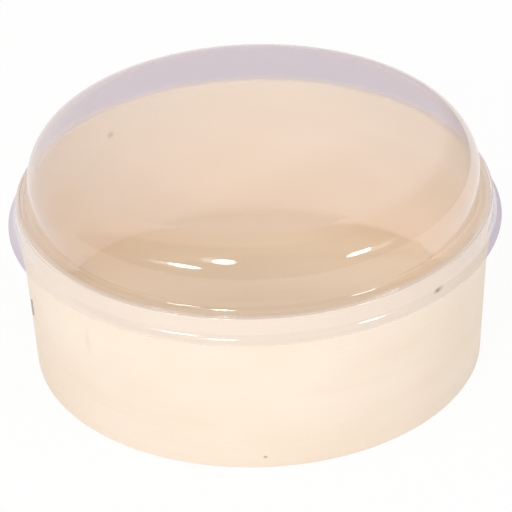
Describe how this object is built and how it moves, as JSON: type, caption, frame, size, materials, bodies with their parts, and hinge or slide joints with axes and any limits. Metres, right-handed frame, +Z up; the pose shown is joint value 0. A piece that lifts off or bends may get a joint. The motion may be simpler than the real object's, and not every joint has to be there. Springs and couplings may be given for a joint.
{
  "type": "cheese box",
  "caption": "Round wooden veneer cheese box with a lapped side band, a raised plywood base and a clear domed lid that lifts off.",
  "frame": {"origin": "centre of the box on the plane of the side band's lower edge, where the box stands", "axes": "+Z up along the box's axis, through the base and the lid; -Y towards the viewer of the picture, so the lap is on the -X side"},
  "size_m": [0.1248, 0.1248, 0.0604],
  "materials": {
    "base_plywood": "bare rotary-cut plywood, fine straight grain",
    "band_veneer": "bare pale veneer, fine grain along the strip, a few pin knots",
    "staple_wire": "dull galvanised wire",
    "clear_film": "clear thermoformed film, glossy, faintly violet"
  },
  "bodies": {
    "box": {"base_disc": "base_plywood", "side_band": "band_veneer", "lap_staples": "staple_wire"},
    "lid": {"lid": "clear_film"}
  },
  "joints": [
    {"name": "lid_lift", "type": "slide", "parent": "box", "child": "lid", "axis": [0, 0, 1], "range_m": [0, 0.08]}
  ]
}
